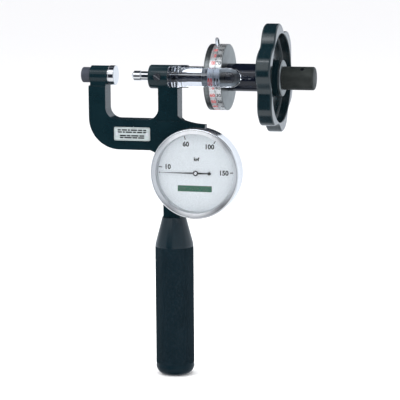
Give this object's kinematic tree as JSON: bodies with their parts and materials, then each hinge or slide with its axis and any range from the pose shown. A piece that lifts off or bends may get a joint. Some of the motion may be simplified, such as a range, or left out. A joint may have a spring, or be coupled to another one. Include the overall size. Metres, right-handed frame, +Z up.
{
  "type": "portable hardness tester",
  "caption": "Hand-held C-frame hardness tester: flat anvil, screw-driven pointed indenter, lobed handwheel, reading drum under a rod magnifier, dial force gauge and knurled grip.",
  "frame": {"origin": "centre of the anvil's flat face, on the screw axis", "axes": "+X along the screw from the anvil towards the handwheel, the dial faces -Y, +Z up and the grip hangs along -Z"},
  "size_m": [0.1668, 0.0744, 0.2493],
  "materials": {
    "frame_paint": "satin blue-black stove enamel on steel",
    "wheel_paint": "satin black finish",
    "handle_black": "black anodised, knurled",
    "black_steel": "polished black oxide",
    "phosphate_steel": "dull grey-black phosphate",
    "chrome": "polished chrome plate",
    "bright_steel": "bright turned steel",
    "drum_steel": "fine turned steel",
    "bronze": "turned brass and bronze",
    "plate_aluminium": "brushed aluminium",
    "dial_white": "satin white enamel",
    "pointer_black": "matt black",
    "diamond": "polished dark grey point",
    "acrylic": "clear polished acrylic",
    "gauge_glass": "clear flat glass"
  },
  "bodies": {
    "frame": {"frame": "frame_paint", "anvil": "chrome", "anvil_knob": "black_steel", "nameplate": "plate_aluminium", "nameplate_rivets": "bright_steel", "guide_screw": "bright_steel", "barrel": "black_steel", "lead_nut": "bronze", "magnifier_collar": "black_steel", "magnifier_stud": "black_steel", "magnifier": "acrylic", "collar_screw": "bright_steel", "gauge_case": "chrome", "gauge_screws": "black_steel", "movement_base": "bronze", "movement_bridge": "bronze", "movement_pillars": "bronze", "hairspring": "bright_steel", "plunger_guide": "black_steel", "plunger_spring": "bright_steel", "handle": "handle_black", "handle_stud": "bright_steel"},
    "spindle": {"spindle": "chrome", "indenter_holder": "chrome", "indenter_point": "diamond", "thrust_ball": "bright_steel", "retaining_pin": "bright_steel"},
    "screw": {"lead_screw": "bright_steel", "thimble": "black_steel", "handwheel": "wheel_paint", "hub_ring": "bright_steel", "speed_knob": "phosphate_steel", "knob_set_screw": "black_steel"},
    "drum": {"drum": "drum_steel", "drum_pin": "bright_steel", "drum_spring_ring": "bright_steel"},
    "bezel": {"gauge_bezel": "chrome", "gauge_glass": "gauge_glass", "dial_ring": "chrome", "gauge_dial": "dial_white"},
    "pointer": {"pointer": "pointer_black", "pointer_arbor": "bronze"},
    "sector": {"sector_gear": "bronze", "sector_arbor": "bright_steel"},
    "plunger": {"plunger": "bright_steel", "drive_pin": "bright_steel"}
  },
  "joints": [
    {"name": "spindle_feed", "type": "slide", "parent": "frame", "child": "spindle", "axis": [1, 0, 0], "range_m": [-0.0111, 0.012]},
    {"name": "handwheel_turn", "type": "hinge", "parent": "spindle", "child": "screw", "pos_m": [0.114, 0, 0], "axis": [1, 0, 0], "range_deg": [-7992, 8640]},
    {"name": "drum_turn", "type": "hinge", "parent": "spindle", "child": "drum", "pos_m": [0.0753, 0, 0], "axis": [1, 0, 0], "range_deg": [-275, 45]},
    {"name": "bezel_turn", "type": "hinge", "parent": "frame", "child": "bezel", "pos_m": [0.0619, -0.0165, -0.0652], "axis": [0, 1, 0], "range_deg": [-20, 20]},
    {"name": "pointer_turn", "type": "hinge", "parent": "frame", "child": "pointer", "pos_m": [0.0619, -0.0172, -0.0652], "axis": [0, 1, 0], "range_deg": [0, 185]},
    {"name": "sector_swing", "type": "hinge", "parent": "frame", "child": "sector", "pos_m": [0.0619, -0.0106, -0.0436], "axis": [0, 1, 0], "range_deg": [-23.5, 0]},
    {"name": "plunger_slide", "type": "slide", "parent": "frame", "child": "plunger", "axis": [0, 0, -1], "range_m": [0, 0.00103], "stiffness_N_per_m": 100, "springref_m": -0.003, "deforming": ["plunger_spring"]}
  ],
  "couplings": [
    {"joint": "spindle_feed", "follows": "handwheel_turn", "m_per_rad": 0.000079577},
    {"joint": "sector_swing", "follows": "plunger_slide", "rad_per_m": -392.7},
    {"joint": "pointer_turn", "follows": "plunger_slide", "rad_per_m": 3141.6}
  ]
}
